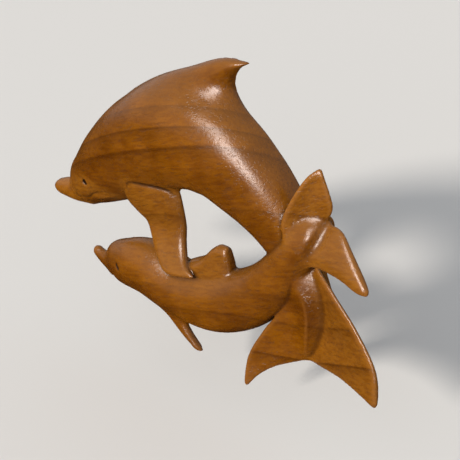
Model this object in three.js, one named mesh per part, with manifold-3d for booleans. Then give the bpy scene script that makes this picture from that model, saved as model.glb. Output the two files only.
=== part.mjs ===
// Wall sculpture of a mother dolphin leaping over her calf, carved from one plank of wood.
// Millimetres. X runs to the right along the wall, Y into the wall and Z up.
// The origin is where the flat back is fixed to the wall.
import * as THREE from 'three';
import Module from 'manifold-3d';

// Driving dimensions
const LENGTH = 330; // overall, from the mother's beak to the far tip of her fluke
const PLANK = 49; // thickness of the plank, which the fluke tips reach
const EYE_DIAMETER = 4;
const EYE_DEPTH = 2.5;

// The carver's drawing: squares along the wall, and hundredths of the plank for depth.
const SQUARE = LENGTH / 101;
const LAYER = PLANK / 100;
const WALL_POINT = [47, 54]; // where it is fixed, in squares across and up

// Fineness of the facets
const BODY_RINGS = 40;
const BODY_SIDES = 28;
const BEAK_RINGS = 10;
const BEAK_SIDES = 14;
const FIN_RINGS = 12;
const FIN_SIDES = 16;
const EYE_SIDES = 10;

const wasm = await Module();
wasm.setup();

// A row on the smooth curve through rows of numbers, with t from 0 at the first to 1 at the last.
// This is a Catmull-Rom spline whose end rows are carried on in a straight line.
function along(rows, t) {
  const place = THREE.MathUtils.clamp(t, 0, 1) * (rows.length - 1);
  const i = Math.min(Math.floor(place), rows.length - 2);
  const s = place - i;
  return rows[i].map((_, k) => {
    const b = rows[i][k];
    const c = rows[i + 1][k];
    const a = i > 0 ? rows[i - 1][k] : 2 * b - c;
    const d = i + 2 < rows.length ? rows[i + 2][k] : 2 * c - b;
    return b + 0.5 * s * (c - a + s * (2 * a - 5 * b + 4 * c - d + s * (3 * (b - c) + d - a)));
  });
}

// A closed solid through rings of points, each end closed by a fan round the ring's middle.
function skin(rings) {
  const sides = rings[0].length;
  const points = rings.flat();
  const triangles = [];
  for (let r = 0; r + 1 < rings.length; r++) {
    for (let i = 0; i < sides; i++) {
      const j = (i + 1) % sides;
      const [a, b, c, d] = [r * sides + i, r * sides + j, (r + 1) * sides + j, (r + 1) * sides + i];
      triangles.push(a, b, c, a, c, d);
    }
  }
  for (const [r, turn] of [[0, 1], [rings.length - 1, 0]]) {
    const middle = points.length;
    const sum = rings[r].reduce((total, p) => total.add(p), new THREE.Vector3());
    points.push(sum.divideScalar(sides));
    for (let i = 0; i < sides; i++) {
      const pair = [r * sides + i, r * sides + (i + 1) % sides];
      triangles.push(middle, pair[turn], pair[1 - turn]);
    }
  }
  return solid(points, triangles);
}

// A solid from points and triangles, turned to face outwards.
function solid(points, triangles) {
  let volume = 0;
  for (let i = 0; i < triangles.length; i += 3) {
    const [a, b, c] = triangles.slice(i, i + 3).map((k) => points[k]);
    volume += a.dot(b.clone().cross(c));
  }
  const triVerts = new Uint32Array(volume < 0 ? triangles.toReversed() : triangles);
  const vertProperties = new Float32Array(points.flatMap((p) => p.toArray()));
  return new wasm.Manifold(new wasm.Mesh({ numProp: 3, vertProperties, triVerts }));
}

// A point of the drawing: squares across and up, and depth in front of the wall.
const at = (across, up, depth) => new THREE.Vector3(across * SQUARE, -depth * LAYER, up * SQUARE);

// A round body. Each station is [across, up, half width, waist, front, back, upper, lower]: the
// section is widest at the depth called waist, and its front and back are at those depths. Upper and
// lower shape the front's two sides: 1 is round, less is a fuller shoulder and more is a ridge. The
// two ends are rounded over shares of its length.
function body(stations, rings, sides, ends) {
  const made = [];
  for (let r = 0; r <= rings; r++) {
    const t = (1 - Math.cos(Math.PI * (0.02 + 0.96 * r / rings))) / 2;
    const [x, z, halfWidth, waist, front, back, upper, lower] = along(stations, t);
    const [x0, z0] = along(stations, t - 0.01);
    const [x1, z1] = along(stations, t + 0.01);
    const across = new THREE.Vector2(z0 - z1, x1 - x0).normalize();
    const size = roundOff(t, ends[0]) * roundOff(1 - t, ends[1]);
    const ring = [];
    for (let i = 0; i < sides; i++) {
      const angle = 2 * Math.PI * i / sides;
      const frontPower = Math.cos(angle) > 0 ? upper : lower;
      const power = angle < Math.PI ? frontPower : 1;
      const side = Math.sign(Math.cos(angle)) * Math.abs(Math.cos(angle)) ** power;
      const lift = Math.abs(Math.sin(angle)) ** power;
      const reach = angle < Math.PI ? front - waist : back - waist;
      const out = halfWidth * side * size;
      ring.push(at(x + across.x * out, z + across.y * out, waist + reach * lift * size));
    }
    made.push(ring);
  }
  return skin(made);
}

// How much a section has grown at t, where the end is a quarter of an ellipse over a share of the length.
function roundOff(t, share) {
  return t < share ? Math.sqrt(1 - (1 - t / share) ** 2) : 1;
}

// A fin between its leading and its trailing edge, each a curve from root to tip of
// [across, up, depth]. Thickness and hollow are lists from root to tip in squares: half the
// thickness in the middle, and how far the middle is dished towards the wall. The section is an
// ellipse where blunt is 2, and has squarer edges where it is more.
function fin({ leading, trailing, thickness, hollow, blunt }) {
  const rings = [];
  for (let r = 0; r <= FIN_RINGS; r++) {
    const t = Math.sin(0.5 * Math.PI * r / FIN_RINGS * 0.985);
    const front = at(...along(leading, t));
    const rear = at(...along(trailing, t));
    const chord = rear.clone().sub(front);
    const ahead = at(...along(leading, t + 0.02)).add(at(...along(trailing, t + 0.02)));
    const behind = at(...along(leading, t - 0.02)).add(at(...along(trailing, t - 0.02)));
    const normal = ahead.sub(behind).cross(chord).normalize();
    if (normal.y > 0) normal.negate();
    const [half] = along(thickness, t);
    const [dish] = along(hollow, t);
    const ring = [];
    for (let i = 0; i < FIN_SIDES; i++) {
      const angle = 2 * Math.PI * i / FIN_SIDES;
      const v = (1 - Math.cos(angle)) / 2;
      const profile = Math.sign(Math.sin(angle)) * Math.sqrt(1 - Math.abs(Math.cos(angle)) ** blunt);
      const swell = profile * half * roundOff(1 - t, 0.15) * SQUARE;
      const sag = 4 * v * (1 - v) * dish * SQUARE;
      ring.push(front.clone().addScaledVector(chord, v).addScaledVector(normal, swell - sag));
    }
    rings.push(ring);
  }
  return skin(rings);
}

// The mother: body, tail stock and the keel down the middle of her fluke
const mother = body([
  [6.2, 30, 5.4, 14, 44, -4, 1, 1],
  [13.3, 32.5, 7.2, 12, 55, -4, 0.95, 1],
  [22.9, 39.5, 10, 10, 67, -4, 0.85, 1],
  [34.2, 47.4, 11.8, 10, 78, -4, 0.78, 1],
  [45, 52.2, 12.6, 10, 82, -4, 0.75, 1],
  [55, 51.2, 11.6, 10, 80, -4, 0.75, 1],
  [62.6, 46.6, 9.9, 10, 74, -4, 0.75, 1],
  [68.6, 41.2, 8, 10, 66, -4, 0.78, 1],
  [73.3, 35.4, 6.4, 12, 60, -4, 0.85, 1],
  [77.8, 30.6, 4.6, 44, 67, 6, 1.4, 1.3],
  [80.9, 25, 4.6, 48, 70, 24, 2, 1.4],
  [80.7, 17.2, 4.2, 42, 66, 26, 2, 1.4],
  [79.4, 9.6, 1.8, 40, 53, 30, 1.6, 1.4],
], BODY_RINGS, BODY_SIDES, [0.07, 0.03]);

const motherBeak = body([
  [-1, 26.4, 1.5, 24, 36, 12, 1, 1],
  [3, 27, 2.5, 24, 38, 10, 1, 1],
  [8, 27.9, 3.5, 22, 42, 4, 1, 1],
  [14, 29.9, 4.5, 20, 44, 0, 1, 1],
], BEAK_RINGS, BEAK_SIDES, [0.25, 0.1]);

const motherDorsal = fin({
  leading: [[33, 58.5, 7], [41.5, 64.5, 7], [50.3, 69, 6], [56.3, 71, 5], [61.4, 71, 3]],
  trailing: [[61, 56, 7], [58.4, 62, 6], [58, 66.5, 5], [59.4, 69.3, 4], [61.7, 70.8, 3]],
  thickness: [[5], [3.8], [2.4], [1.1]],
  hollow: [[0], [0]],
  blunt: 2,
});

const motherFlipper = fin({
  leading: [
    [31.8, 40.8, 61], [30.3, 37.2, 56], [29.9, 34.4, 50], [31.6, 31.9, 45], [34.6, 29.3, 43], [36.8, 25.8, 51],
    [39.2, 22.6, 62], [43.5, 20, 75], [50.8, 21.4, 74],
  ],
  trailing: [
    [44.4, 41, 36], [45.2, 37.6, 37], [45.5, 34.8, 37], [45.7, 32.3, 37], [45.8, 30, 38], [46, 27.6, 42],
    [46.8, 25, 49], [48.7, 22.9, 62], [51.5, 21.9, 73],
  ],
  thickness: [[1.1], [1.4], [1.5], [1.4], [1.2]],
  hollow: [[-1.1], [-0.5], [0], [0]],
  blunt: 5,
});

const motherFlukeLeft = fin({
  leading: [[77.8, 33.5, 57], [74.6, 23, 61], [70.2, 15, 70], [67, 7.5, 80], [67, 0.6, 94]],
  trailing: [[79.4, 8.6, 45], [76.6, 7.4, 54], [73, 5.8, 68], [70, 3.4, 82], [67.9, 0.3, 94]],
  thickness: [[1.6], [1.2], [1], [0.8]],
  hollow: [[0], [0.5], [0]],
  blunt: 2.5,
});

const motherFlukeRight = fin({
  leading: [[81.5, 35, 50], [87, 31.8, 66], [93.3, 26.8, 78], [98.6, 20.2, 88], [100.2, 12.6, 95]],
  trailing: [[79.4, 8.6, 45], [84.2, 10.5, 60], [90, 11.8, 73], [95.8, 12, 87], [99.6, 11.6, 95]],
  thickness: [[1.4], [1.2], [1], [0.8]],
  hollow: [[2.2], [0.8], [0]],
  blunt: 2.5,
});

// The calf: body and tail stock
const calf = body([
  [19, 12, 4.6, 46, 64, 28, 1, 1],
  [25.8, 13.6, 6.4, 46, 75, 8, 1, 1],
  [34.4, 15, 7.6, 46, 84, 0, 0.95, 1],
  [44, 13, 7.1, 46, 88, -2, 0.9, 1],
  [53.5, 13.7, 7.6, 46, 88, -2, 0.85, 1],
  [61.5, 17.2, 7.1, 45, 85, -2, 0.85, 1],
  [68.3, 22.8, 6.2, 44, 80, 4, 0.85, 1],
  [73.3, 29.5, 5.3, 43, 76, 12, 0.9, 1],
  [76.8, 36, 4.7, 42, 72, 18, 1.1, 1.1],
  [80, 41.3, 4, 36, 62, 14, 1.2, 1.2],
  [82, 43.9, 1.6, 25, 39, 12, 1.2, 1.2],
], BODY_RINGS, BODY_SIDES, [0.08, 0.03]);

const calfBeak = body([
  [14.9, 14.7, 1.2, 49, 57, 41, 1, 1],
  [18, 12.9, 1.9, 50, 60, 40, 1, 1],
  [23, 11.6, 3.4, 50, 66, 34, 1, 1],
], BEAK_RINGS, BEAK_SIDES, [0.2, 0.1]);

const calfDorsal = fin({
  leading: [[42.5, 19.5, 46], [47.5, 22.9, 46], [51.5, 25.4, 47], [54.4, 28.6, 48], [56.6, 30.5, 48]],
  trailing: [[61, 18, 46], [60.4, 22, 46], [60, 25.5, 46], [59.7, 28, 47], [59, 30.6, 48]],
  thickness: [[3.2], [2.6], [1.9], [1.4]],
  hollow: [[0], [0]],
  blunt: 5,
});

const calfFlipper = fin({
  leading: [[38.4, 11.5, 72], [45, 5, 72], [50.6, -0.5, 70]],
  trailing: [[46.4, 9, 70], [49, 4, 71], [52, 0, 70]],
  thickness: [[1.2], [1.1], [0.9]],
  hollow: [[0], [0]],
  blunt: 4,
});

const calfFlukeUpper = fin({
  leading: [[75.4, 37.4, 60], [74.2, 43, 58], [75.8, 48.2, 52], [78.2, 53, 42], [80.4, 55.3, 31]],
  trailing: [[82, 43.4, 26], [83.2, 47, 28], [82.7, 50, 30], [81.8, 52.6, 31], [80.9, 54.8, 31]],
  thickness: [[1.3], [1.2], [1], [0.7]],
  hollow: [[1.2], [1.3], [0.2]],
  blunt: 2.5,
});

const calfFlukeLower = fin({
  leading: [[78, 34, 58], [83, 35.9, 62], [88.4, 35.8, 67], [92.5, 34.6, 70], [94.8, 34.7, 70]],
  trailing: [[82, 43.4, 26], [86.2, 43.7, 38], [89.4, 41.4, 50], [92.5, 38.4, 60], [94.9, 35.7, 68]],
  thickness: [[1.3], [1.2], [1.1], [0.8]],
  hollow: [[0.2], [0], [0]],
  blunt: 2.5,
});

const pieces = [
  motherBeak, motherDorsal, motherFlipper, motherFlukeLeft, motherFlukeRight,
  calf, calfBeak, calfDorsal, calfFlipper, calfFlukeUpper, calfFlukeLower,
];
const joined = pieces.reduce((whole, piece) => whole.add(piece), mother);

// The back is planed flat where it lies on the wall.
const planed = joined.trimByPlane([0, -1, 0], 0);

// Each eye is a small dimple drilled square to the wall into the side of the head.
const eyes = [[16.8, 35, 60], [26.6, 15.2, 76]].map(([across, up, depth]) => {
  const rings = [depth * LAYER - EYE_DEPTH, PLANK + EYE_DEPTH].map((front) => (
    Array.from({ length: EYE_SIDES }, (_, i) => {
      const angle = 2 * Math.PI * i / EYE_SIDES;
      const x = across * SQUARE + 0.5 * EYE_DIAMETER * Math.cos(angle);
      return new THREE.Vector3(x, -front, up * SQUARE + 0.5 * EYE_DIAMETER * Math.sin(angle));
    })
  ));
  return skin(rings);
});
const finished = eyes.reduce((whole, eye) => whole.subtract(eye), planed);

const { vertProperties, triVerts } = finished.getMesh();
const geometry = new THREE.BufferGeometry();
geometry.setAttribute('position', new THREE.BufferAttribute(vertProperties, 3));
geometry.setIndex(new THREE.BufferAttribute(triVerts, 1));
geometry.computeVertexNormals();

const wood = new THREE.MeshStandardMaterial({ color: 0xa5692e, roughness: 0.38, metalness: 0 });
const carving = new THREE.Mesh(geometry, wood);
carving.name = 'dolphin_carving';

const sculpture = new THREE.Group();
sculpture.add(carving);
sculpture.position.set(-WALL_POINT[0] * SQUARE, 0, -WALL_POINT[1] * SQUARE);

export default sculpture;
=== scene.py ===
"""Looks of a sculpture carved from one plank of wood: a mother dolphin leaping over her calf.

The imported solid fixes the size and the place. This script makes the same bodies and fins with fine
rings, turns each one into a grid of distances, and blends the grids so that one form flows into the
next, as it does under a carver's rasp. Then it cuts the creases, the mouths and the eyes, and makes
the varnished wood, the lights and the camera.
"""

import bpy
import numpy as np
import openvdb as vdb
from mathutils import Matrix, Vector


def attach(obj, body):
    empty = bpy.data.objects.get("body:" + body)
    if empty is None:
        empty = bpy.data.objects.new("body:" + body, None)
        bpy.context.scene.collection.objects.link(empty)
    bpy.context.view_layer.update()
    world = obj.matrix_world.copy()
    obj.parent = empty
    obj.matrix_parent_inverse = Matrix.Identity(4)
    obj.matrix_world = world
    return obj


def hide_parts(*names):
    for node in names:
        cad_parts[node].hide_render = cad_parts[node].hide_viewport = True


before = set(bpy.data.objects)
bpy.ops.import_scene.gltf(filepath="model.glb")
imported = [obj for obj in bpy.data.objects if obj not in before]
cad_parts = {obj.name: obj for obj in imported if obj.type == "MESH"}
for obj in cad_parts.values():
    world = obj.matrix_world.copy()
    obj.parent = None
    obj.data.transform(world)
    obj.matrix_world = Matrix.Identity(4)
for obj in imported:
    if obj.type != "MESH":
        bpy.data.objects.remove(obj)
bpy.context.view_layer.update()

# Driving dimensions in millimetres
LENGTH = 330.0
PLANK = 49.0
MILLIMETRES_PER_METRE = 1000

# The carver's drawing: squares across and up the plank's face, and hundredths of its thickness for
# depth, counted out from the flat back. The origin is where the back is fixed.
SQUARE = LENGTH / 101
LAYER = PLANK / 100
WALL_POINT = (47, 54)

# Grid of distances: the side of a cell in millimetres, how many cells the distances reach each way
# from a skin, the lowest cell, and the counts of cells across, into and up the plank
CELL = 1.19
REACH = 12
FIRST = (-138, -48, -156)
COUNTS = (292, 56, 210)

# Rings: the share of a half turn left out at each end of a body, and how near a fin's tip they run
BODY_MARGIN = 0.02
FIN_END = 0.985

# How far along a curve its direction is taken to each side, as a share of its length
BODY_STEP = 0.01
FIN_STEP = 0.02

# The share of a fin's length over which its tip thins out
TIP_SHARE = 0.15

# A strand: its radius at the ends as a share of the middle's, and the room kept round it
END_SHARE = 0.45
STRAND_ROOM = 4

# How many times a point is moved towards a surface before it counts as lying there, and the least
# length that a slope is divided by
SETTLING_ROUNDS = 12
TINY = 1e-9


def along(rows, t):
    """Rows on the smooth curve through rows of numbers, with t from 0 at the first to 1 at the last.

    This is a Catmull-Rom spline whose end rows are carried on in a straight line. Between rows b and
    c, with a before them and d after, the share s gives b plus half of s times this sum: c less a,
    s times 2a less 5b plus 4c less d, and s squared times three times b less c, plus d less a.
    """
    rows = np.array(rows, float)
    padded = np.vstack([2 * rows[0] - rows[1], rows, 2 * rows[-1] - rows[-2]])
    place = np.clip(t, 0, 1) * (len(rows) - 1)
    i = np.minimum(place.astype(int), len(rows) - 2)
    s = (place - i)[:, None]
    a, b, c, d = (padded[i + k] for k in range(4))
    return b + 0.5 * s * (c - a + s * (2 * a - 5 * b + 4 * c - d + s * (3 * (b - c) + d - a)))


def at(across, up, depth):
    """Points of the drawing in the part's own millimetres: to the right, towards the back, and up."""
    x = (across - WALL_POINT[0]) * SQUARE
    z = (up - WALL_POINT[1]) * SQUARE
    return np.stack(np.broadcast_arrays(x, -depth * LAYER, z), axis=-1)


def grow(t, share):
    """How much a section has grown at t, where an end is a quarter of an ellipse over a share of it all.

    It is the root of 1 less the square of what is left of the share, and stays at 1 past the share.
    """
    return np.sqrt(1 - (1 - np.clip(t / share, 0, 1)) ** 2)


def body(stations, ends, rings=150, sides=96):
    """Rings of a round body through stations, each of eight numbers.

    They are [across, up, half width, waist, front, back, upper, lower]. The section is widest at the
    depth called waist, and reaches the depths front and back. Upper and lower shape the front's two
    sides: 1 is round, less is a fuller shoulder and more is a ridge. Across the section, the side and
    the lift are the cosine and the sine to that power. The rings crowd towards both ends, as the
    cosine of an even turn does, and ends holds the share of the length over which each end grows.
    """
    turned = BODY_MARGIN + (1 - 2 * BODY_MARGIN) * np.arange(rings + 1) / rings
    t = (1 - np.cos(np.pi * turned)) / 2
    x, z, half, waist, front, back, upper, lower = along(stations, t).T[..., None]
    run = along(stations, t + BODY_STEP) - along(stations, t - BODY_STEP)
    out_x, out_z = -run[:, 1:2], run[:, 0:1]
    size = (grow(t, ends[0]) * grow(1 - t, ends[1]))[:, None]
    out = half * size / np.hypot(out_x, out_z)
    angle = 2 * np.pi * np.arange(sides)[None] / sides
    facing = angle < np.pi
    power = np.where(facing, np.where(np.cos(angle) > 0, upper, lower), 1)
    side = np.sign(np.cos(angle)) * np.abs(np.cos(angle)) ** power
    lift = np.abs(np.sin(angle)) ** power
    reach = np.where(facing, front - waist, back - waist)
    return at(x + out_x * out * side, z + out_z * out * side, waist + reach * lift * size)


def fin(leading, trailing, thickness, hollow, blunt, rings=90, sides=72):
    """Rings of a fin between two edges, each a curve from root to tip of [across, up, depth].

    Thickness and hollow are lists from root to tip in squares: half the thickness in the middle, and
    how far the middle is dished towards the back. At a share v of the way between the edges, the skin
    stands off by the profile times half the thickness, less the dish times 4 v (1 - v). The profile is
    the root of 1 less the cosine to the power called blunt, where v is half of 1 less the cosine. So
    the section is an ellipse where blunt is 2, and has squarer edges where it is more.
    """
    t = np.sin(0.5 * np.pi * FIN_END * np.arange(rings + 1) / rings)

    def edge(rows, place):
        return at(*along(rows, place).T)

    front, rear = edge(leading, t), edge(trailing, t)
    chord = rear - front
    ahead = edge(leading, t + FIN_STEP) + edge(trailing, t + FIN_STEP)
    behind = edge(leading, t - FIN_STEP) + edge(trailing, t - FIN_STEP)
    normal = np.cross(ahead - behind, chord)
    normal *= -np.sign(normal[:, 1:2]) / np.linalg.norm(normal, axis=1, keepdims=True)
    half = along([[h] for h in thickness], t) * grow(1 - t, TIP_SHARE)[:, None]
    dish = along([[h] for h in hollow], t)
    angle = 2 * np.pi * np.arange(sides)[None] / sides
    v = (1 - np.cos(angle)) / 2
    profile = np.sign(np.sin(angle)) * np.sqrt(1 - np.abs(np.cos(angle)) ** blunt)
    stand = (profile * half - 4 * v * (1 - v) * dish) * SQUARE
    return front[:, None] + chord[:, None] * v[..., None] + normal[:, None] * stand[..., None]


def distance(rings):
    """Grid of signed distances to the closed skin through rings of points, negative inside it.

    Two triangles fill each place between two rings, and a fan from the middle of the first ring and of
    the last ring closes each end.
    """
    count, sides = rings.shape[:2]
    points = np.vstack([rings.reshape(-1, 3), rings[0].mean(0), rings[-1].mean(0)])
    r, i = np.meshgrid(np.arange(count - 1) * sides, np.arange(sides), indexing="ij")
    j = (i + 1) % sides
    a, b, c, d = (k.ravel() for k in (r + i, r + j, r + sides + j, r + sides + i))
    ring = np.arange(sides)
    near = np.full(sides, count * sides)
    last = (count - 1) * sides
    triangles = np.vstack([
        np.stack([a, b, c], 1),
        np.stack([a, c, d], 1),
        np.stack([near, (ring + 1) % sides, ring], 1),
        np.stack([near + 1, last + ring, last + (ring + 1) % sides], 1),
    ])
    grid = vdb.FloatGrid.createLevelSetFromPolygons(
        points.astype(np.float32),
        triangles=triangles.astype(np.uint32),
        transform=vdb.createLinearTransform(CELL),
        exBandWidth=REACH,
        inBandWidth=REACH,
    )
    values = np.empty(COUNTS, np.float32)
    grid.copyToArray(values, ijk=FIRST)
    return values


def blend(a, b, fillet):
    """Join of two forms with a fillet in millimetres.

    It is the lesser distance, less a quarter of h squared times the fillet. Here h is how far the
    fillet exceeds the difference of the two distances, as a share of the fillet, and 0 where it doesn't.
    """
    h = np.maximum(fillet - np.abs(a - b), 0) / fillet
    return np.minimum(a, b) - h * h * fillet / 4


def sample(values, points):
    """Value of a grid at each point, found from the eight cells round it in proportion to nearness."""
    place = points / CELL - np.array(FIRST)
    low = np.clip(np.floor(place).astype(int), 0, np.array(COUNTS) - 2)
    part = place - low
    total = np.zeros(len(points))
    for corner in range(8):
        step = np.array([corner >> 2 & 1, corner >> 1 & 1, corner & 1])
        weight = np.prod(np.where(step, part, 1 - part), axis=1)
        total += weight * values[tuple((low + step).T)]
    return total


def slope(values, points):
    """Direction in which a grid's value grows fastest at each point, as a unit vector."""
    steps = np.eye(3) * CELL
    grown = [sample(values, points + s) - sample(values, points - s) for s in steps]
    found = np.stack(grown, axis=1)
    return found / np.maximum(np.linalg.norm(found, axis=1, keepdims=True), TINY)


def settle(values, points, lift):
    """Points moved until they lie a height above the surface, called lift.

    Each round moves a point down the slope by what is left of its distance to that height.
    """
    for _ in range(SETTLING_ROUNDS):
        points = points - slope(values, points) * (sample(values, points) - lift)[:, None]
    return points


def strand(values, rows, radius, lift, count=60):
    """Grid of distances to a round strand laid over the surface, thin at its ends.

    Its rows are [across, up, depth] and its middle runs at a height above the surface, called lift.
    The radius swells from the ends as the sine of a half turn. The distance is the least, over the
    strand's points, of the length to the point less the radius there.
    """
    share = np.linspace(0, 1, count)
    middle = settle(values, at(*along(rows, share).T), lift)
    radii = radius * (END_SHARE + (1 - END_SHARE) * np.sin(np.pi * share))
    found = np.full(COUNTS, REACH * CELL, np.float32)
    room = radius + STRAND_ROOM
    low = np.floor((middle.min(0) - room) / CELL).astype(int) - FIRST
    high = np.ceil((middle.max(0) + room) / CELL).astype(int) - FIRST
    box = tuple(slice(max(a, 0), b) for a, b in zip(low, high))
    spans = [np.arange(s.start, s.stop) for s in box]
    cells = np.stack(np.meshgrid(*spans, indexing="ij"), axis=-1)
    places = (cells + np.array(FIRST)) * CELL
    near = found[box]
    for point, size in zip(middle, radii):
        near = np.minimum(near, np.linalg.norm(places - point, axis=-1) - size)
    found[box] = near
    return found


def swell(whole, rows, radius, lift, fillet):
    """The whole with a strand along rows of [across, up, depth] added to it."""
    return blend(whole, strand(whole, rows, radius, lift), fillet)


def carve(whole, rows, radius, lift, fillet):
    """The whole with a groove along rows of [across, up, depth] cut into it, its edges rounded.

    It is as deep as the radius less the lift. A cut is the blend of the whole, turned inside out, with
    the tool's form, turned back again.
    """
    return -blend(-whole, strand(whole, rows, radius, lift), fillet)


def largest_skin(points, quads):
    """The points and quads of the largest skin alone, without any speck shut in between the forms.

    Each point takes the lowest number among its neighbours until every skin has one number of its own.
    """
    points = np.array(points, float)
    quads = np.array(quads, int)
    labels = np.arange(len(points))
    while True:
        spread = labels.copy()
        np.minimum.at(spread, quads.ravel(), np.repeat(labels[quads].min(axis=1), 4))
        spread = spread[spread]
        if np.array_equal(spread, labels):
            break
        labels = spread
    kept = labels == np.bincount(labels).argmax()
    numbers = np.cumsum(kept) - 1
    return points[kept], numbers[quads[kept[quads[:, 0]]]]


def soften(values, cells):
    """A grid averaged over a cube that reaches a number of cells each way.

    Along each axis in turn, the mean is the difference of two running totals by the cells between.
    """
    for axis in range(3):
        width = [(cells + 1, cells) if k == axis else (0, 0) for k in range(3)]
        total = np.cumsum(np.pad(values, width, mode="edge"), axis=axis, dtype=np.float64)
        size = values.shape[axis]
        upper = np.take(total, np.arange(size) + 2 * cells + 1, axis=axis)
        lower = np.take(total, np.arange(size), axis=axis)
        values = (upper - lower) / (2 * cells + 1)
    return values


# The mother
mother = distance(body([
    [6.2, 30, 5.4, 14, 44, -4, 1, 1],
    [13.3, 32.5, 7.2, 12, 55, -4, 0.95, 1],
    [22.9, 39.5, 10, 10, 67, -4, 0.85, 1],
    [34.2, 47.4, 11.8, 10, 78, -4, 0.78, 1],
    [45, 52.2, 12.6, 10, 82, -4, 0.75, 1],
    [55, 51.2, 11.6, 10, 80, -4, 0.75, 1],
    [62.6, 46.6, 9.9, 10, 74, -4, 0.75, 1],
    [68.6, 41.2, 8, 10, 66, -4, 0.78, 1],
    [73.3, 35.4, 6.4, 12, 60, -4, 0.85, 1],
    [77.8, 30.6, 4.6, 44, 67, 6, 1.4, 1.3],
    [80.9, 25, 4.6, 48, 70, 24, 2, 1.4],
    [80.7, 17.2, 4.2, 42, 66, 26, 2, 1.4],
    [79.4, 9.6, 1.8, 40, 53, 30, 1.6, 1.4],
], (0.07, 0.03)))
mother_beak = distance(body([
    [-1, 26.4, 1.5, 24, 36, 12, 1, 1],
    [3, 27, 2.5, 24, 38, 10, 1, 1],
    [8, 27.9, 3.5, 22, 42, 4, 1, 1],
    [14, 29.9, 4.5, 20, 44, 0, 1, 1],
], (0.25, 0.1), rings=60, sides=64))
mother_dorsal = distance(fin(
    leading=[[33, 58.5, 7], [41.5, 64.5, 7], [50.3, 69, 6], [56.3, 71, 5], [61.4, 71, 3]],
    trailing=[[61, 56, 7], [58.4, 62, 6], [58, 66.5, 5], [59.4, 69.3, 4], [61.7, 70.8, 3]],
    thickness=[5, 3.8, 2.4, 1.1],
    hollow=[0, 0],
    blunt=2,
))
mother_flipper = distance(fin(
    leading=[
        [31.8, 40.8, 61], [30.3, 37.2, 56], [29.9, 34.4, 50], [31.6, 31.9, 45], [34.6, 29.3, 43],
        [36.8, 25.8, 51], [39.2, 22.6, 62], [43.5, 20, 75], [50.8, 21.4, 74],
    ],
    trailing=[
        [44.4, 41, 36], [45.2, 37.6, 37], [45.5, 34.8, 37], [45.7, 32.3, 37], [45.8, 30, 38],
        [46, 27.6, 42], [46.8, 25, 49], [48.7, 22.9, 62], [51.5, 21.9, 73],
    ],
    thickness=[1.1, 1.4, 1.5, 1.4, 1.2],
    hollow=[-1.1, -0.5, 0, 0],
    blunt=5,
))
mother_fluke_left = distance(fin(
    leading=[[77.8, 33.5, 57], [74.6, 23, 61], [70.2, 15, 70], [67, 7.5, 80], [67, 0.6, 94]],
    trailing=[[79.4, 8.6, 45], [76.6, 7.4, 54], [73, 5.8, 68], [70, 3.4, 82], [67.9, 0.3, 94]],
    thickness=[1.6, 1.2, 1, 0.8],
    hollow=[0, 0.5, 0],
    blunt=2.5,
))
mother_fluke_right = distance(fin(
    leading=[[81.5, 35, 50], [87, 31.8, 66], [93.3, 26.8, 78], [98.6, 20.2, 88], [100.2, 12.6, 95]],
    trailing=[[79.4, 8.6, 45], [84.2, 10.5, 60], [90, 11.8, 73], [95.8, 12, 87], [99.6, 11.6, 95]],
    thickness=[1.4, 1.2, 1, 0.8],
    hollow=[2.2, 0.8, 0],
    blunt=2.5,
))

# The calf
calf = distance(body([
    [19, 12, 4.6, 46, 64, 28, 1, 1],
    [25.8, 13.6, 6.4, 46, 75, 8, 1, 1],
    [34.4, 15, 7.6, 46, 84, 0, 0.95, 1],
    [44, 13, 7.1, 46, 88, -2, 0.9, 1],
    [53.5, 13.7, 7.6, 46, 88, -2, 0.85, 1],
    [61.5, 17.2, 7.1, 45, 85, -2, 0.85, 1],
    [68.3, 22.8, 6.2, 44, 80, 4, 0.85, 1],
    [73.3, 29.5, 5.3, 43, 76, 12, 0.9, 1],
    [76.8, 36, 4.7, 42, 72, 18, 1.1, 1.1],
    [80, 41.3, 4, 36, 62, 14, 1.2, 1.2],
    [82, 43.9, 1.6, 25, 39, 12, 1.2, 1.2],
], (0.08, 0.03)))
calf_beak = distance(body([
    [14.9, 14.7, 1.2, 49, 57, 41, 1, 1],
    [18, 12.9, 1.9, 50, 60, 40, 1, 1],
    [23, 11.6, 3.4, 50, 66, 34, 1, 1],
], (0.2, 0.1), rings=60, sides=64))
calf_dorsal = distance(fin(
    leading=[[42.5, 19.5, 46], [47.5, 22.9, 46], [51.5, 25.4, 47], [54.4, 28.6, 48], [56.6, 30.5, 48]],
    trailing=[[61, 18, 46], [60.4, 22, 46], [60, 25.5, 46], [59.7, 28, 47], [59, 30.6, 48]],
    thickness=[3.2, 2.6, 1.9, 1.4],
    hollow=[0, 0],
    blunt=5,
))
calf_flipper = distance(fin(
    leading=[[38.4, 11.5, 72], [45, 5, 72], [50.6, -0.5, 70]],
    trailing=[[46.4, 9, 70], [49, 4, 71], [52, 0, 70]],
    thickness=[1.2, 1.1, 0.9],
    hollow=[0, 0],
    blunt=4,
))
calf_fluke_upper = distance(fin(
    leading=[[75.4, 37.4, 60], [74.2, 43, 58], [75.8, 48.2, 52], [78.2, 53, 42], [80.4, 55.3, 31]],
    trailing=[[82, 43.4, 26], [83.2, 47, 28], [82.7, 50, 30], [81.8, 52.6, 31], [80.9, 54.8, 31]],
    thickness=[1.3, 1.2, 1, 0.7],
    hollow=[1.2, 1.3, 0.2],
    blunt=2.5,
))
calf_fluke_lower = distance(fin(
    leading=[[78, 34, 58], [83, 35.9, 62], [88.4, 35.8, 67], [92.5, 34.6, 70], [94.8, 34.7, 70]],
    trailing=[[82, 43.4, 26], [86.2, 43.7, 38], [89.4, 41.4, 50], [92.5, 38.4, 60], [94.9, 35.7, 68]],
    thickness=[1.3, 1.2, 1.1, 0.8],
    hollow=[0.2, 0, 0],
    blunt=2.5,
))

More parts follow.
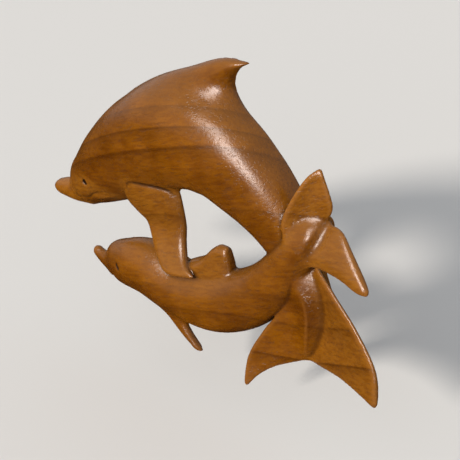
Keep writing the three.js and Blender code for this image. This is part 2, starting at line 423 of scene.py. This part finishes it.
# The forms flow into one another, each join with a fillet of its own in millimetres.
for form, fillet in (
    (mother_beak, 4),
    (mother_dorsal, 13),
    (mother_fluke_left, 6),
    (mother_fluke_right, 2.5),
    (mother_flipper, 2),
):
    mother = blend(mother, form, fillet)
calf_flukes = blend(calf_fluke_upper, calf_fluke_lower, 1)
for form, fillet in ((calf_beak, 3), (calf_dorsal, 3), (calf_flipper, 3), (calf_flukes, 3.5)):
    calf = blend(calf, form, fillet)
whole = blend(mother, calf, 1)

# The mother's lower jaw swells behind the corner of her mouth.
jaw = [[17.5, 29.8, 50], [20.5, 31, 52], [24.5, 32.2, 52]]
whole = swell(whole, jaw, radius=3.4, lift=-2.4, fillet=2)

# A gouge has run up below the calf's tail ridge to the notch between its fluke lobes.
ridge_valley = [[83, 43.7, 30], [82.7, 42.9, 38], [82, 41.3, 50], [81.2, 39.6, 59], [80.2, 37.5, 63]]
whole = carve(whole, ridge_valley, radius=3.4, lift=2, fillet=3)

# What is cut from here on is cut with a fine blade or a drill; the depth of these cuts later sets painted
# shade in them and a duller, unvarnished finish.
uncut = whole

# The mouths, each a groove from the beak back to its corner
mother_mouth = [
    [9, 27.6, 44], [12.5, 28.6, 48], [16, 29.8, 52], [18.2, 31.8, 54], [22, 33.6, 57], [27, 34, 55],
]
calf_mouth = [[19, 11.6, 56], [21.5, 10.7, 62], [24.5, 10.4, 66], [27.5, 10.9, 70]]
whole = carve(whole, mother_mouth, radius=1.3, lift=0.55, fillet=1)
whole = carve(whole, calf_mouth, radius=1.1, lift=0.6, fillet=1)

# A crease sets the mother's flipper off from her body.
flipper_crease = [
    [32.2, 38.4, 63], [33.4, 40.4, 66], [36.7, 40.9, 63], [40.4, 40.7, 58], [43, 40, 50],
    [44.8, 38.2, 43],
]
whole = carve(whole, flipper_crease, radius=1.7, lift=0.6, fillet=1.5)

# The mother's eye is a shallow dish with a drilled hole in it, and the calf's is a short cut.
mother_eye_dish = [[16.4, 35, 59], [17, 34.9, 59]]
mother_eye_hole = [[16.7, 35, 59], [16.9, 34.9, 59]]
calf_eye = [[26.2, 16.1, 76], [27, 14.2, 76]]
whole = carve(whole, mother_eye_dish, radius=4.2, lift=3.4, fillet=1)
whole = carve(whole, mother_eye_hole, radius=2.5, lift=-0.4, fillet=0.4)
whole = carve(whole, calf_eye, radius=1.8, lift=0.2, fillet=0.4)

knife_depth = whole - uncut

# The back is planed flat.
depths = (np.arange(COUNTS[1]) + FIRST[1]) * CELL
whole = np.maximum(whole, depths[None, :, None])

# The thin parts and the mother's cheek were sanded most, and so are paler.
cheek = strand(uncut, [[9, 30, 44], [15, 33, 56], [20, 34, 58], [27, 31.5, 54]], radius=7, lift=0)
nearest_thin = np.minimum.reduce([
    mother_beak, mother_flipper, mother_fluke_right, calf_dorsal, calf_fluke_upper, calf_fluke_lower, cheek,
])

# One skin over the whole carving
grid = vdb.FloatGrid(REACH * CELL)
grid.transform = vdb.createLinearTransform(CELL)
grid.copyFromArray(whole.astype(np.float32), ijk=FIRST)
points, quads = largest_skin(*grid.convertToQuads(isovalue=0))

# How hollow the surface is near each point and further round it: above 0 in a crease, where most of
# what is near is wood, and below 0 on an edge
NEAR_CELLS = 2
FAR_CELLS = 3
relief = -sample(soften(whole, NEAR_CELLS), points)
broad = -sample(soften(soften(whole, FAR_CELLS), FAR_CELLS), points)

# How far below the surface the knife and the drill have gone
carved = sample(knife_depth, points)

# How far each point is from the nearest part that was sanded most
sanded = sample(nearest_thin, points)

mesh = bpy.data.meshes.new("carving")
mesh.from_pydata((points / MILLIMETRES_PER_METRE).tolist(), [], quads.tolist())
mesh.validate()
for name, values in (("relief", relief), ("broad", broad), ("carved", carved), ("sanded", sanded)):
    layer = mesh.attributes.new(name, "FLOAT", "POINT")
    layer.data.foreach_set("value", values.astype(np.float32))
mesh.shade_smooth()
carving = bpy.data.objects.new("dolphins", mesh)
bpy.context.scene.collection.objects.link(carving)


class Nodes:
    """Adds nodes to a node tree and joins them up."""

    def __init__(self, tree):
        self.tree = tree

    def add(self, kind, values=None, **settings):
        """A new node, with settings and with each input given a number, a colour or another socket."""
        node = self.tree.nodes.new("ShaderNode" + kind)
        for name, value in settings.items():
            setattr(node, name, value)
        for name, value in (values or {}).items():
            if isinstance(value, bpy.types.NodeSocket):
                self.tree.links.new(value, node.inputs[name])
            else:
                node.inputs[name].default_value = value
        return node

    def math(self, operation, a, b, clamp=False):
        """The result of a sum on two numbers or sockets."""
        return self.add("Math", {0: a, 1: b}, operation=operation, use_clamp=clamp).outputs[0]

    def attribute(self, name):
        """A number that the mesh holds at each of its points."""
        return self.add("Attribute", attribute_name=name).outputs["Fac"]

    def ramp(self, value, low, high, to_low=0.0, to_high=1.0, curve="SMOOTHSTEP"):
        """A value carried from between low and high to between two others, smoothly or in a line."""
        values = {
            "Value": value,
            "From Min": low,
            "From Max": high,
            "To Min": to_low,
            "To Max": to_high,
        }
        node = self.add("MapRange", values, interpolation_type=curve)
        return node.outputs["Result"]

    def mix(self, factor, a, b, blend_type="MIX"):
        """A mix of two colours."""
        node = self.add("Mix", {0: factor, 6: a, 7: b}, data_type="RGBA", blend_type=blend_type)
        return node.outputs[2]

    def noise(self, vector, scale, detail, roughness=0.5):
        """A cloudy pattern from 0 to 1."""
        values = {"Vector": vector, "Scale": scale, "Detail": detail, "Roughness": roughness}
        return self.add("TexNoise", values).outputs["Fac"]


def new_group(name, inputs, outputs):
    """A node group with named sockets: its nodes, what it is given and what it puts out."""
    tree = bpy.data.node_groups.new(name, "ShaderNodeTree")
    for label, kind, value in inputs:
        socket = tree.interface.new_socket(label, in_out="INPUT", socket_type="NodeSocket" + kind)
        if value is not None:
            socket.default_value = value
    for label, kind in outputs:
        tree.interface.new_socket(label, in_out="OUTPUT", socket_type="NodeSocket" + kind)
    given = tree.nodes.new("NodeGroupInput").outputs
    made = tree.nodes.new("NodeGroupOutput").inputs
    return Nodes(tree), given, made


def colour(red, green, blue):
    """A colour given as it looks on screen, from 0 to 255, as linear light.

    This undoes the screen's standard curve: a share s becomes the power 2.4 of (s + 0.055) / 1.055, or
    s / 12.92 where it is at most 0.04045.
    """
    shares = np.array([red, green, blue]) / 255
    linear = np.where(shares <= 0.04045, shares / 12.92, ((shares + 0.055) / 1.055) ** 2.4)
    return (*linear.tolist(), 1.0)


# The layers of growth lean back and to the left in the plank, and the fibres rise to the right.
RING_NORMAL = (-0.245, 0.65, 0.72)
FIBRE_TILT = 0.33

# Where the dark faces of the rings are, in millimetres along that lean, and how dark each one is
RING_SPAN = (-185, 75)
RING_LINES = (
    (-148, 0.9), (-125.5, 0.7), (-110, 0.5), (-60, 0.5), (-25.7, 1.0), (-14, 0.9), (-1.2, 0.8),
)

# Darkness before the first line, just above each line, and where its shade has faded out below it
RING_START = 0.15
RING_ABOVE = 0.05
RING_BELOW = 0.08


def growth_rings():
    """Growth rings: flat layers through the plank, each with a thin dark line that fades downwards.

    A point's place is its distance along the layers' lean, made wavy by a cloud, and a ramp of stops
    gives the darkness there.
    """
    nodes, given, made = new_group(
        "growth_rings",
        [("Vector", "Vector", None), ("Waver", "Float", 0.004)],
        [("Rings", "Float")],
    )
    lean = nodes.add("VectorMath", {0: given["Vector"], 1: RING_NORMAL}, operation="DOT_PRODUCT")
    cloud = nodes.noise(given["Vector"], 7.0, 1.0)
    waver = nodes.math("MULTIPLY", nodes.math("SUBTRACT", cloud, 0.5), given["Waver"])
    place = nodes.math("ADD", lean.outputs["Value"], waver)
    start, end = RING_SPAN
    low, high = start / MILLIMETRES_PER_METRE, end / MILLIMETRES_PER_METRE
    ramp = nodes.add("ValToRGB", {"Fac": nodes.ramp(place, low, high, curve="LINEAR")})
    stops = ramp.color_ramp.elements
    stops.remove(stops[1])
    stops[0].position = 0.0
    stops[0].color = (RING_START, RING_START, RING_START, 1)
    for line, dark in RING_LINES:
        for step, level in ((0.6, RING_ABOVE), (-0.1, dark), (-1.5, 0.5 * dark), (-8.5, RING_BELOW)):
            stop = stops.new((line + step - start) / (end - start))
            stop.color = (level, level, level, 1)
    nodes.tree.links.new(ramp.outputs["Color"], made["Rings"])
    return nodes.tree


def wood_pores():
    """Pores and fibres: fine dashes, as two clouds that are drawn out five times along the fibres."""
    nodes, given, made = new_group(
        "wood_pores",
        [("Vector", "Vector", None), ("Fineness", "Float", 1.0)],
        [("Pores", "Float"), ("Fibres", "Float")],
    )
    turn = {"Vector": given["Vector"], "Axis": (0, 1, 0), "Angle": FIBRE_TILT}
    turned = nodes.add("VectorRotate", turn).outputs[0]
    drawn = nodes.add("VectorMath", {0: turned, 1: (0.2, 1.0, 1.0)}, operation="MULTIPLY").outputs[0]
    dashes = nodes.noise(drawn, nodes.math("MULTIPLY", given["Fineness"], 620.0), 2.0, 0.6)
    fibres = nodes.noise(drawn, nodes.math("MULTIPLY", given["Fineness"], 430.0), 4.0, 0.7)
    nodes.tree.links.new(nodes.ramp(dashes, 0.56, 0.68), made["Pores"])
    nodes.tree.links.new(fibres, made["Fibres"])
    return nodes.tree


def placed_group(nodes, tree, place, name, value):
    """A node group set in a material, given the place on the piece and one named value."""
    return nodes.add("Group", {"Vector": place, name: value}, node_tree=tree).outputs


def wood_colour(nodes, place, rings, pores, cut_in):
    """Brown wood: a cloudy base under layers, each a colour laid on where its mask is above 0. Some layers
    are painted shade in creases, hollows and cuts, and painted light on upward faces.
    """
    relief = nodes.attribute("relief")
    cloud = nodes.noise(place, 14.0, 3.0, 0.6)
    facing = nodes.add("NewGeometry").outputs["Normal"]
    upwards = nodes.add("SeparateXYZ", {"Vector": facing}).outputs["Z"]

    # Paler where thin parts were sanded, with dark growth lines, fibres and pores
    sanded = nodes.ramp(nodes.attribute("sanded"), -2.0, 8.0, 0.45, 0.0)
    lines = nodes.math("MULTIPLY", rings["Rings"], 0.85)
    fibres = nodes.ramp(pores["Fibres"], 0.4, 0.62)
    dashes = nodes.math("MULTIPLY", pores["Pores"], 0.3)

    # Painted shade in creases and hollows, real wear rubbed pale on edges, painted light on upward-facing
    # surfaces, and painted shade in the fine cuts
    # Painted shade: darker where the surface folds into a crease
    painted_crease_shade = nodes.ramp(relief, 0.04, 0.55, 0.0, 0.8)
    # Painted shade: darker in broad hollows
    hollow = nodes.ramp(nodes.attribute("broad"), 0.1, 1.2, 0.0, 0.4)
    worn = nodes.ramp(nodes.math("MULTIPLY", relief, -1.0), 0.12, 0.6, 0.0, 0.35)
    # Painted light: the more a face turns up, the paler it is, as light falls from above
    painted_top_light = nodes.ramp(upwards, 0.0, 1.0, 0.0, 0.4, "LINEAR")
    # Painted shade: the deeper a knife or drill cut, the darker its colour
    dark = nodes.ramp(cut_in, 0.15, 1.1, 0.0, 0.95)

    base = nodes.mix(nodes.ramp(cloud, 0.35, 0.68), colour(100, 54, 0), colour(130, 76, 0))
    for mask, tint, blend_type in (
        (sanded, colour(152, 98, 26), "MIX"),
        (lines, colour(60, 26, 0), "MIX"),
        (fibres, (0.78, 0.71, 0.55, 1), "MULTIPLY"),
        (dashes, colour(62, 30, 3), "MIX"),
        # painted shade in creases
        (painted_crease_shade, colour(48, 22, 3), "MIX"),
        # painted shade in broad hollows
        (hollow, colour(74, 37, 2), "MIX"),
        (worn, colour(146, 94, 40), "MIX"),
        # painted light on upward-facing surfaces
        (painted_top_light, colour(150, 100, 42), "MIX"),
        # painted shade in the fine cuts
        (dark, colour(34, 15, 4), "MIX"),
    ):
        base = nodes.mix(mask, base, tint, blend_type)
    return base


def varnish_roughness(nodes, place, pores, cut_in):
    """Roughness of the varnish: cloudy and low, a little more in the pores, and high in the cuts."""
    cloud = nodes.noise(place, 60.0, 3.0, 0.6)
    rough = nodes.ramp(cloud, 0.3, 0.7, 0.2, 0.32)
    rough = nodes.math("ADD", rough, nodes.math("MULTIPLY", pores["Pores"], 0.12))
    return nodes.math("ADD", rough, nodes.ramp(cut_in, 0.3, 1.4, 0.0, 0.5), clamp=True)


def varnish_bumps(nodes, place, pores):
    """Small unevenness under the varnish: the sum of a ripple, the sunken pores and a fine grit."""
    ripple = nodes.math("MULTIPLY", nodes.noise(place, 110.0, 2.0, 0.5), 0.5)
    sunken = nodes.math("MULTIPLY", pores["Pores"], -0.4)
    grit = nodes.math("MULTIPLY", nodes.noise(place, 480.0, 2.0, 0.6), 0.6)
    height = nodes.math("ADD", nodes.math("ADD", ripple, sunken), grit)
    return nodes.add("Bump", {"Height": height, "Strength": 0.45, "Distance": 0.0006}).outputs["Normal"]


def varnished_wood():
    """Warm brown wood under a satin varnish, which is missing where the wood was cut."""
    material = bpy.data.materials.new("wood")
    material.use_nodes = True
    tree = material.node_tree
    tree.nodes.clear()
    nodes = Nodes(tree)
    place = nodes.add("TexCoord").outputs["Object"]
    rings = placed_group(nodes, growth_rings(), place, "Waver", 0.006)
    pores = placed_group(nodes, wood_pores(), place, "Fineness", 1.0)
    cut_in = nodes.attribute("carved")
    shader = nodes.add("BsdfPrincipled", {
        "Base Color": wood_colour(nodes, place, rings, pores, cut_in),
        "Roughness": varnish_roughness(nodes, place, pores, cut_in),
        "Normal": varnish_bumps(nodes, place, pores),
        "Specular IOR Level": nodes.ramp(cut_in, 0.3, 1.4, 0.25, 0.02),
        "Coat Weight": nodes.ramp(cut_in, 0.2, 0.9, 0.12, 0.0),
        "Coat Roughness": 0.2,
    })
    out = nodes.add("OutputMaterial")
    tree.links.new(shader.outputs["BSDF"], out.inputs["Surface"])
    return material


mesh.materials.append(varnished_wood())
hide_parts("dolphin_carving")
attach(carving, "root")

# Stage: a pale floor below the carving, with half its side and its height in metres
SPAN = 6.0
FLOOR = -0.215
corners = [(-SPAN, -SPAN, FLOOR), (SPAN, -SPAN, FLOOR), (SPAN, SPAN, FLOOR), (-SPAN, SPAN, FLOOR)]
floor_mesh = bpy.data.meshes.new("floor")
floor_mesh.from_pydata(corners, [], [(0, 1, 2, 3)])
floor = bpy.data.objects.new("floor", floor_mesh)
bpy.context.scene.collection.objects.link(floor)
pale = bpy.data.materials.new("pale_floor")
pale.use_nodes = True
pale_shader = pale.node_tree.nodes["Principled BSDF"]
pale_shader.inputs["Base Color"].default_value = colour(214, 213, 210)
pale_shader.inputs["Roughness"].default_value = 0.8
floor_mesh.materials.append(pale)
floor.visible_glossy = False

# A studio that is pale above and warm brown below, which fills the shade and shows in the varnish
world = bpy.data.worlds.new("studio")
world.use_nodes = True
sky = Nodes(world.node_tree)
heading = sky.add("SeparateXYZ", {"Vector": sky.add("TexCoord").outputs["Generated"]}).outputs["Z"]
shade = sky.mix(sky.ramp(heading, -0.1, 0.05), colour(44, 36, 26), colour(214, 217, 222))
backdrop = world.node_tree.nodes["Background"]
world.node_tree.links.new(shade, backdrop.inputs["Color"])
backdrop.inputs["Strength"].default_value = 0.75
bpy.context.scene.world = world


def lamp(name, towards, strength, angle, tint, mirrored):
    """A sun that is seen in a direction from the carving and looks an angle in degrees wide.

    Either its light or only its mirror image in the varnish is seen, as with a screened studio lamp.
    """
    light = bpy.data.lights.new(name, "SUN")
    light.energy = strength
    light.angle = np.radians(angle)
    light.color = colour(*tint)[:3]
    item = bpy.data.objects.new(name, light)
    item.rotation_mode = "QUATERNION"
    item.rotation_quaternion = Vector(towards).to_track_quat("Z", "Y")
    item.visible_glossy = mirrored
    item.visible_diffuse = not mirrored
    bpy.context.scene.collection.objects.link(item)


# One broad sun from in front and above, and three more that are only mirrored in the varnish
KEY_TINT = (255, 247, 238)
SHINE_TINT = (255, 250, 246)
lamp("key_light", (-0.12, -0.84, 0.53), 3.3, 10, KEY_TINT, False)
lamp("shine_light_high", (0.08, -0.64, 0.77), 2.8, 28, SHINE_TINT, True)
lamp("shine_light_middle", (0.29, -0.85, 0.42), 5.2, 32, SHINE_TINT, True)
lamp("shine_light_low", (0.48, -0.83, 0.28), 1.2, 22, SHINE_TINT, True)
bpy.context.scene.view_settings.view_transform = "Standard"

# Camera at the photograph's view: its place in metres, where its right, its top and its back face,
# and its sensor's width and its lens in millimetres
CAMERA_PLACE = (0.33476, -0.38008, 0.23742)
CAMERA_RIGHT = (0.79209, 0.60833, -0.05023)
CAMERA_TOP = (-0.29721, 0.45625, 0.83875)
CAMERA_BACK = (0.53316, -0.64944, 0.54219)
CAMERA_SENSOR = 36
CAMERA_LENS = 61.83
camera_data = bpy.data.cameras.new("camera")
camera_data.sensor_width = CAMERA_SENSOR
camera_data.lens = CAMERA_LENS
camera = bpy.data.objects.new("camera", camera_data)
turn = Matrix((CAMERA_RIGHT, CAMERA_TOP, CAMERA_BACK)).transposed().to_4x4()
camera.matrix_world = Matrix.Translation(CAMERA_PLACE) @ turn
bpy.context.scene.collection.objects.link(camera)
bpy.context.scene.camera = camera

bpy.context.view_layer.update()
